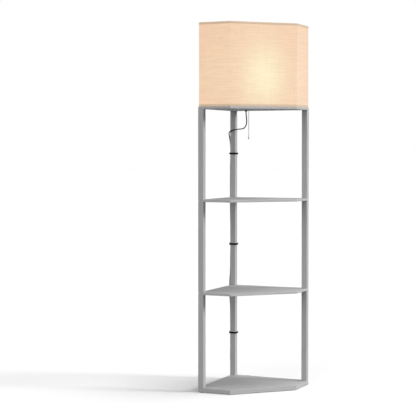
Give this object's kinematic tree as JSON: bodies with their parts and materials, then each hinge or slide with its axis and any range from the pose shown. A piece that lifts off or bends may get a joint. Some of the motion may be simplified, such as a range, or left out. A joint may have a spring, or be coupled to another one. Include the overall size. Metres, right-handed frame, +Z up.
{
  "type": "shelf floor lamp",
  "caption": "Corner floor lamp: a lit linen shade on a stand of five-sided shelves, with a pull-chain switch and a mains cord",
  "frame": {"origin": "on the floor at the middle of the stand's plan box", "axes": "+Z up; +Y towards the back corner where the two wall sides meet; -Y out of the open front; +X to the right seen from the front"},
  "size_m": [0.5248, 0.3891, 1.6],
  "materials": {
    "grey_paint": "satin grey paint",
    "pad_felt": "matt",
    "zinc_steel": "zinc plated",
    "linen": "open linen weave",
    "hem_cloth": "linen tape",
    "liner": "translucent sheet",
    "white_wire": "white powder coat",
    "white_plastic": "satin",
    "nickel_brass": "bright",
    "bulb_metal": "bright",
    "bulb_black": "gloss",
    "bulb_white": "satin",
    "bulb_glow": "frosted, lit",
    "lever_steel": "satin",
    "chain_steel": "nickel plated",
    "knob_metal": "satin",
    "eyelet_metal": "nickel plated",
    "black_plastic": "satin",
    "cord_jacket": "satin vinyl",
    "strap_black": "matt loop tape",
    "plug_brass": "bright"
  },
  "bodies": {
    "lamp": {"base_board": "grey_paint", "mid_shelf": "grey_paint", "top_shelf": "grey_paint", "lamp_deck": "grey_paint", "left_post_lower": "grey_paint", "left_post_middle": "grey_paint", "left_post_upper": "grey_paint", "back_post_lower": "grey_paint", "back_post_middle": "grey_paint", "back_post_upper": "grey_paint", "right_post_lower": "grey_paint", "right_post_middle": "grey_paint", "right_post_upper": "grey_paint", "floor_pads": "pad_felt", "threaded_inserts": "zinc_steel", "shelf_studs": "zinc_steel", "base_bolts": "zinc_steel", "deck_screws": "zinc_steel", "holder_screws": "zinc_steel", "shade_linen": "linen", "shade_top_hem": "hem_cloth", "shade_bottom_hem": "hem_cloth", "shade_liner": "liner", "shade_top_ring": "white_wire", "shade_spider": "white_wire", "socket_housing": "white_plastic", "socket_sleeve": "white_plastic", "ring_nut": "white_plastic", "screw_shell": "nickel_brass", "centre_contact": "nickel_brass", "bulb_tip": "nickel_brass", "bulb_cap": "bulb_metal", "bulb_insulator": "bulb_black", "bulb_collar": "bulb_white", "bulb_globe": "bulb_glow", "lever_pin": "lever_steel", "chain_eyelet": "eyelet_metal", "cord_bushing": "black_plastic", "bushing_nut": "black_plastic", "plug_body": "black_plastic", "cord_inside": "cord_jacket", "cord_hang": "cord_jacket", "cord_drop": "cord_jacket", "cord_hank": "cord_jacket", "cord_straps": "strap_black", "hank_tie": "strap_black", "plug_blades": "plug_brass"},
    "lever": {"pull_lever": "lever_steel"},
    "pull_chain": {"chain_upper": "chain_steel"},
    "hanging_chain": {"chain_lower": "chain_steel", "pull_knob": "knob_metal"}
  },
  "joints": [
    {"name": "chain_pull", "type": "slide", "parent": "lamp", "child": "pull_chain", "axis": [0, 0, -1], "range_m": [0, 0.00915], "stiffness_N_per_m": 400},
    {"name": "lever_turn", "type": "hinge", "parent": "lamp", "child": "lever", "pos_m": [0, -0.03608, 1.263], "axis": [-1, 0, 0], "range_deg": [0, 22.5]},
    {"name": "chain_swing", "type": "hinge", "parent": "pull_chain", "child": "hanging_chain", "pos_m": [0, -0.01252, 1.22608], "axis": [0, 1, 0], "range_deg": [-20, 20]}
  ],
  "couplings": [
    {"joint": "lever_turn", "follows": "chain_pull", "rad_per_m": 41.964}
  ]
}
